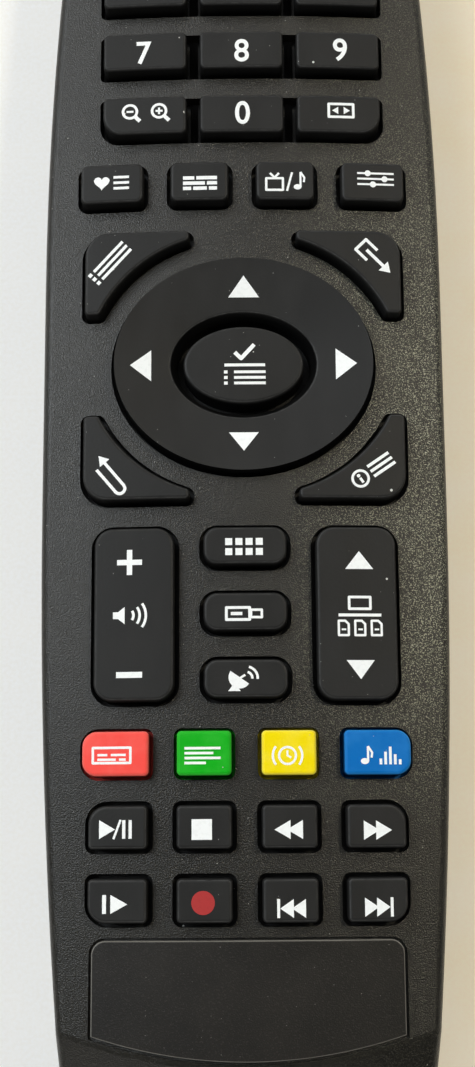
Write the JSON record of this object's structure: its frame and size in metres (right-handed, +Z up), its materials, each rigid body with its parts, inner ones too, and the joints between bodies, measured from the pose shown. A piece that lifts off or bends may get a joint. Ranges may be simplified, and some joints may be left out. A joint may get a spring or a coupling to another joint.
{
  "type": "remote control",
  "caption": "Slim handheld infrared remote control: crowned grained deck, number block, elliptical navigation pad, rockers, coloured and transport keys, sliding battery door.",
  "frame": {"origin": "middle of the resting plane, under the centre of the overall box", "axes": "+X to the right of the keypad, +Y from the heel towards the infrared window, +Z up through the keys"},
  "size_m": [0.0508, 0.19, 0.0239],
  "materials": {
    "deck_plastic": "fine spark-eroded grain",
    "base_plastic": "fine grain",
    "badge_plastic": "smooth satin",
    "window_plastic": "polished, infrared-pass",
    "key_rubber": "matte coated silicone",
    "red_rubber": "satin",
    "green_rubber": "satin",
    "yellow_rubber": "satin",
    "blue_rubber": "satin",
    "mat_rubber": "matte silicone",
    "board_laminate": "solder mask",
    "chip_resin": "moulded epoxy",
    "resonator_resin": "dipped resin",
    "capacitor_can": "sleeved can",
    "led_resin": "tinted clear",
    "cell_can": "printed steel can",
    "nickel_contact": "nickel plated",
    "screw_steel": "zinc plated"
  },
  "bodies": {
    "housing": {"upper_housing": "deck_plastic", "lower_housing": "base_plastic", "badge_plate": "badge_plastic", "infrared_window": "window_plastic", "keypad_mat": "mat_rubber", "circuit_board": "board_laminate", "controller_chip": "chip_resin", "ceramic_resonator": "resonator_resin", "electrolytic_capacitor": "capacitor_can", "infrared_led": "led_resin", "aaa_cells": "cell_can", "battery_leaf_springs": "nickel_contact", "battery_contact_plates": "nickel_contact", "housing_screws": "screw_steel"},
    "battery_door": {"battery_door": "base_plastic"},
    "navigation_skirt": {"navigation_skirt": "mat_rubber"},
    "navigation_ring": {"navigation_ring": "key_rubber"},
    "volume_rocker": {"volume_rocker": "key_rubber"},
    "channel_rocker": {"channel_rocker": "key_rubber"},
    "power_key": {"power_key": "red_rubber"},
    "mute_key": {"mute_key": "key_rubber"},
    "digit_0_key": {"digit_0_key": "key_rubber"},
    "digit_1_key": {"digit_1_key": "key_rubber"},
    "digit_2_key": {"digit_2_key": "key_rubber"},
    "digit_3_key": {"digit_3_key": "key_rubber"},
    "digit_4_key": {"digit_4_key": "key_rubber"},
    "digit_5_key": {"digit_5_key": "key_rubber"},
    "digit_6_key": {"digit_6_key": "key_rubber"},
    "digit_7_key": {"digit_7_key": "key_rubber"},
    "digit_8_key": {"digit_8_key": "key_rubber"},
    "digit_9_key": {"digit_9_key": "key_rubber"},
    "zoom_key": {"zoom_key": "key_rubber"},
    "format_key": {"format_key": "key_rubber"},
    "favourites_key": {"favourites_key": "key_rubber"},
    "guide_key": {"guide_key": "key_rubber"},
    "tv_radio_key": {"tv_radio_key": "key_rubber"},
    "options_key": {"options_key": "key_rubber"},
    "menu_key": {"menu_key": "key_rubber"},
    "exit_key": {"exit_key": "key_rubber"},
    "recall_key": {"recall_key": "key_rubber"},
    "info_key": {"info_key": "key_rubber"},
    "ok_key": {"ok_key": "key_rubber"},
    "apps_key": {"apps_key": "key_rubber"},
    "usb_key": {"usb_key": "key_rubber"},
    "satellite_key": {"satellite_key": "key_rubber"},
    "red_key": {"red_key": "red_rubber"},
    "green_key": {"green_key": "green_rubber"},
    "yellow_key": {"yellow_key": "yellow_rubber"},
    "blue_key": {"blue_key": "blue_rubber"},
    "play_pause_key": {"play_pause_key": "key_rubber"},
    "stop_key": {"stop_key": "key_rubber"},
    "rewind_key": {"rewind_key": "key_rubber"},
    "fast_forward_key": {"fast_forward_key": "key_rubber"},
    "step_key": {"step_key": "key_rubber"},
    "record_key": {"record_key": "key_rubber"},
    "previous_key": {"previous_key": "key_rubber"},
    "next_key": {"next_key": "key_rubber"}
  },
  "joints": [
    {"name": "battery_door_slide", "type": "slide", "parent": "housing", "child": "battery_door", "axis": [0, -1, 0], "range_m": [0, 0.09]},
    {"name": "navigation_left_right", "type": "hinge", "parent": "housing", "child": "navigation_skirt", "pos_m": [0, 0.00795, 0.02], "axis": [0, 1, 0], "range_deg": [-2, 2], "stiffness_Nm_per_rad": 0.4},
    {"name": "navigation_up_down", "type": "hinge", "parent": "navigation_skirt", "child": "navigation_ring", "pos_m": [0, 0.00795, 0.02], "axis": [1, 0, 0], "range_deg": [-2.2, 2.2], "stiffness_Nm_per_rad": 0.4},
    {"name": "volume_rocker_tilt", "type": "hinge", "parent": "housing", "child": "volume_rocker", "pos_m": [-0.0135, -0.0235, 0.02], "axis": [1, 0, 0], "range_deg": [-3, 3], "stiffness_Nm_per_rad": 0.3},
    {"name": "channel_rocker_tilt", "type": "hinge", "parent": "housing", "child": "channel_rocker", "pos_m": [0.0135, -0.0235, 0.02], "axis": [1, 0, 0], "range_deg": [-3, 3], "stiffness_Nm_per_rad": 0.3},
    {"name": "ok_key_press", "type": "slide", "parent": "housing", "child": "ok_key", "axis": [0, 0, -1], "range_m": [0, 0.0007], "stiffness_N_per_m": 800},
    {"name": "power_key_press", "type": "slide", "parent": "housing", "child": "power_key", "axis": [0, 0, -1], "range_m": [0, 0.0007], "stiffness_N_per_m": 800},
    {"name": "menu_key_press", "type": "slide", "parent": "housing", "child": "menu_key", "axis": [0, 0, -1], "range_m": [0, 0.0007], "stiffness_N_per_m": 800},
    {"name": "exit_key_press", "type": "slide", "parent": "housing", "child": "exit_key", "axis": [0, 0, -1], "range_m": [0, 0.0007], "stiffness_N_per_m": 800},
    {"name": "recall_key_press", "type": "slide", "parent": "housing", "child": "recall_key", "axis": [0, 0, -1], "range_m": [0, 0.0007], "stiffness_N_per_m": 800},
    {"name": "info_key_press", "type": "slide", "parent": "housing", "child": "info_key", "axis": [0, 0, -1], "range_m": [0, 0.0007], "stiffness_N_per_m": 800},
    {"name": "digit_0_key_press", "type": "slide", "parent": "housing", "child": "digit_0_key", "axis": [0, 0, -1], "range_m": [0, 0.0007], "stiffness_N_per_m": 800},
    {"name": "digit_5_key_press", "type": "slide", "parent": "housing", "child": "digit_5_key", "axis": [0, 0, -1], "range_m": [0, 0.0007], "stiffness_N_per_m": 800},
    {"name": "zoom_key_press", "type": "slide", "parent": "housing", "child": "zoom_key", "axis": [0, 0, -1], "range_m": [0, 0.0007], "stiffness_N_per_m": 800},
    {"name": "favourites_key_press", "type": "slide", "parent": "housing", "child": "favourites_key", "axis": [0, 0, -1], "range_m": [0, 0.0007], "stiffness_N_per_m": 800},
    {"name": "options_key_press", "type": "slide", "parent": "housing", "child": "options_key", "axis": [0, 0, -1], "range_m": [0, 0.0007], "stiffness_N_per_m": 800},
    {"name": "usb_key_press", "type": "slide", "parent": "housing", "child": "usb_key", "axis": [0, 0, -1], "range_m": [0, 0.0007], "stiffness_N_per_m": 800},
    {"name": "red_key_press", "type": "slide", "parent": "housing", "child": "red_key", "axis": [0, 0, -1], "range_m": [0, 0.0007], "stiffness_N_per_m": 800},
    {"name": "play_pause_key_press", "type": "slide", "parent": "housing", "child": "play_pause_key", "axis": [0, 0, -1], "range_m": [0, 0.0007], "stiffness_N_per_m": 800},
    {"name": "next_key_press", "type": "slide", "parent": "housing", "child": "next_key", "axis": [0, 0, -1], "range_m": [0, 0.0007], "stiffness_N_per_m": 800},
    {"name": "mute_key_press", "type": "slide", "parent": "housing", "child": "mute_key", "axis": [0, 0, -1], "range_m": [0, 0.0007], "stiffness_N_per_m": 800},
    {"name": "digit_1_key_press", "type": "slide", "parent": "housing", "child": "digit_1_key", "axis": [0, 0, -1], "range_m": [0, 0.0007], "stiffness_N_per_m": 800},
    {"name": "digit_2_key_press", "type": "slide", "parent": "housing", "child": "digit_2_key", "axis": [0, 0, -1], "range_m": [0, 0.0007], "stiffness_N_per_m": 800},
    {"name": "digit_3_key_press", "type": "slide", "parent": "housing", "child": "digit_3_key", "axis": [0, 0, -1], "range_m": [0, 0.0007], "stiffness_N_per_m": 800},
    {"name": "digit_4_key_press", "type": "slide", "parent": "housing", "child": "digit_4_key", "axis": [0, 0, -1], "range_m": [0, 0.0007], "stiffness_N_per_m": 800},
    {"name": "digit_6_key_press", "type": "slide", "parent": "housing", "child": "digit_6_key", "axis": [0, 0, -1], "range_m": [0, 0.0007], "stiffness_N_per_m": 800},
    {"name": "digit_7_key_press", "type": "slide", "parent": "housing", "child": "digit_7_key", "axis": [0, 0, -1], "range_m": [0, 0.0007], "stiffness_N_per_m": 800},
    {"name": "digit_8_key_press", "type": "slide", "parent": "housing", "child": "digit_8_key", "axis": [0, 0, -1], "range_m": [0, 0.0007], "stiffness_N_per_m": 800},
    {"name": "digit_9_key_press", "type": "slide", "parent": "housing", "child": "digit_9_key", "axis": [0, 0, -1], "range_m": [0, 0.0007], "stiffness_N_per_m": 800},
    {"name": "format_key_press", "type": "slide", "parent": "housing", "child": "format_key", "axis": [0, 0, -1], "range_m": [0, 0.0007], "stiffness_N_per_m": 800},
    {"name": "guide_key_press", "type": "slide", "parent": "housing", "child": "guide_key", "axis": [0, 0, -1], "range_m": [0, 0.0007], "stiffness_N_per_m": 800},
    {"name": "tv_radio_key_press", "type": "slide", "parent": "housing", "child": "tv_radio_key", "axis": [0, 0, -1], "range_m": [0, 0.0007], "stiffness_N_per_m": 800},
    {"name": "apps_key_press", "type": "slide", "parent": "housing", "child": "apps_key", "axis": [0, 0, -1], "range_m": [0, 0.0007], "stiffness_N_per_m": 800},
    {"name": "satellite_key_press", "type": "slide", "parent": "housing", "child": "satellite_key", "axis": [0, 0, -1], "range_m": [0, 0.0007], "stiffness_N_per_m": 800},
    {"name": "green_key_press", "type": "slide", "parent": "housing", "child": "green_key", "axis": [0, 0, -1], "range_m": [0, 0.0007], "stiffness_N_per_m": 800},
    {"name": "yellow_key_press", "type": "slide", "parent": "housing", "child": "yellow_key", "axis": [0, 0, -1], "range_m": [0, 0.0007], "stiffness_N_per_m": 800},
    {"name": "blue_key_press", "type": "slide", "parent": "housing", "child": "blue_key", "axis": [0, 0, -1], "range_m": [0, 0.0007], "stiffness_N_per_m": 800},
    {"name": "stop_key_press", "type": "slide", "parent": "housing", "child": "stop_key", "axis": [0, 0, -1], "range_m": [0, 0.0007], "stiffness_N_per_m": 800},
    {"name": "rewind_key_press", "type": "slide", "parent": "housing", "child": "rewind_key", "axis": [0, 0, -1], "range_m": [0, 0.0007], "stiffness_N_per_m": 800},
    {"name": "fast_forward_key_press", "type": "slide", "parent": "housing", "child": "fast_forward_key", "axis": [0, 0, -1], "range_m": [0, 0.0007], "stiffness_N_per_m": 800},
    {"name": "step_key_press", "type": "slide", "parent": "housing", "child": "step_key", "axis": [0, 0, -1], "range_m": [0, 0.0007], "stiffness_N_per_m": 800},
    {"name": "record_key_press", "type": "slide", "parent": "housing", "child": "record_key", "axis": [0, 0, -1], "range_m": [0, 0.0007], "stiffness_N_per_m": 800},
    {"name": "previous_key_press", "type": "slide", "parent": "housing", "child": "previous_key", "axis": [0, 0, -1], "range_m": [0, 0.0007], "stiffness_N_per_m": 800}
  ]
}
